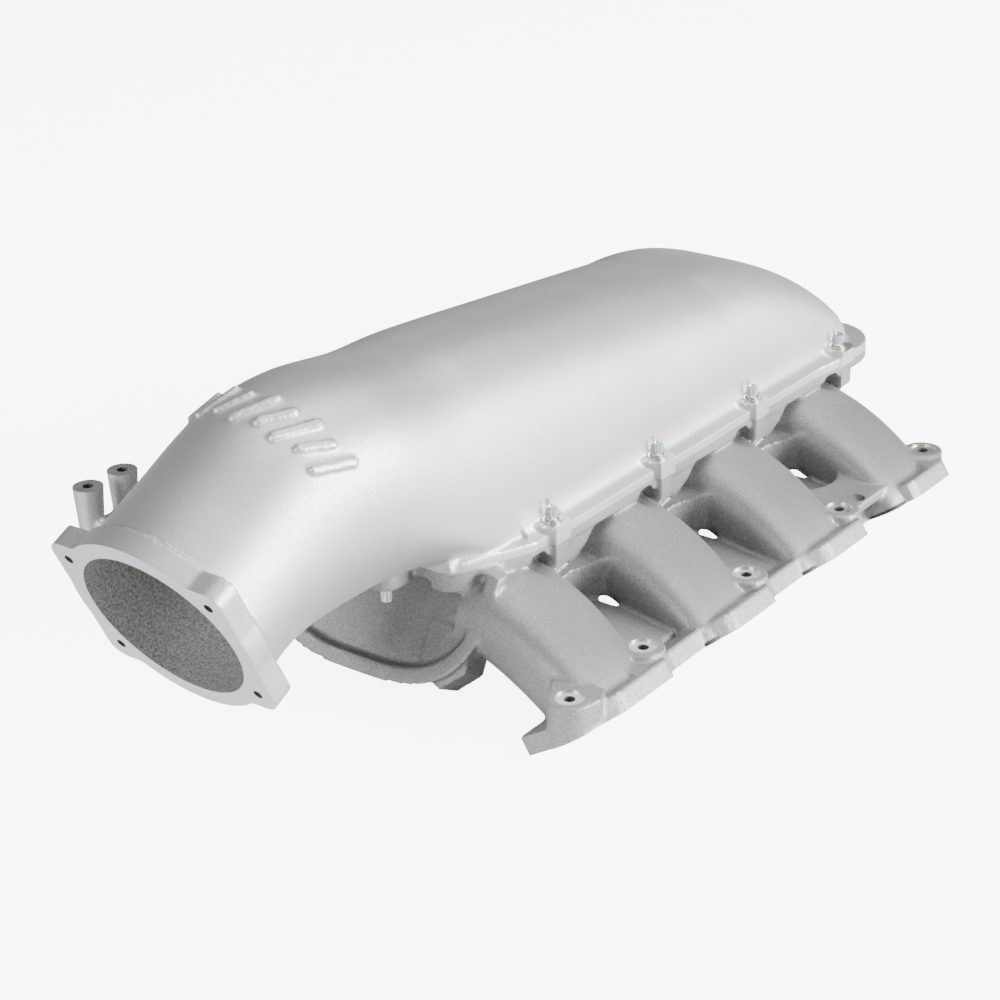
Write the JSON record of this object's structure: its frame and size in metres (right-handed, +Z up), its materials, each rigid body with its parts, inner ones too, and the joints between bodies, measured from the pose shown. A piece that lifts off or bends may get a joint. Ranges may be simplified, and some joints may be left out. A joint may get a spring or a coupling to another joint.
{
  "type": "intake manifold",
  "caption": "Cast aluminium V8 intake manifold: plenum cover with a tilted throttle nose, bolted to a base with curved runners and two sloped head flanges.",
  "frame": {"origin": "bottom centre of the bounding box, on the plane of the lowest edges of the head flanges", "axes": "+X to the right bank, +Y along the engine away from the throttle, +Z up"},
  "size_m": [0.3646, 0.6612, 0.2062],
  "materials": {
    "cover_casting": "fine sand cast and blasted, satin",
    "base_casting": "sand cast, matt",
    "seal_rubber": "moulded, matt",
    "bolt_zinc": "zinc plated, semi bright",
    "washer_zinc": "zinc plated, bright"
  },
  "bodies": {
    "root": {"plenum_cover": "cover_casting", "runner_base": "base_casting", "plenum_seal": "seal_rubber", "port_seal_r1": "seal_rubber", "port_seal_r2": "seal_rubber", "port_seal_r3": "seal_rubber", "port_seal_r4": "seal_rubber", "port_seal_l1": "seal_rubber", "port_seal_l2": "seal_rubber", "port_seal_l3": "seal_rubber", "port_seal_l4": "seal_rubber", "cover_bolt_r1": "bolt_zinc", "cover_bolt_r2": "bolt_zinc", "cover_bolt_r3": "bolt_zinc", "cover_bolt_r4": "bolt_zinc", "cover_bolt_l1": "bolt_zinc", "cover_bolt_l2": "bolt_zinc", "cover_bolt_l3": "bolt_zinc", "cover_bolt_l4": "bolt_zinc", "cover_washer_r1": "washer_zinc", "cover_washer_r2": "washer_zinc", "cover_washer_r3": "washer_zinc", "cover_washer_r4": "washer_zinc", "cover_washer_l1": "washer_zinc", "cover_washer_l2": "washer_zinc", "cover_washer_l3": "washer_zinc", "cover_washer_l4": "washer_zinc", "front_bolt_l": "bolt_zinc", "front_bolt_r": "bolt_zinc", "rear_bolt_l": "bolt_zinc", "rear_bolt_r": "bolt_zinc", "front_washer_l": "washer_zinc", "front_washer_r": "washer_zinc", "rear_washer_l": "washer_zinc", "rear_washer_r": "washer_zinc"}
  },
  "joints": []
}
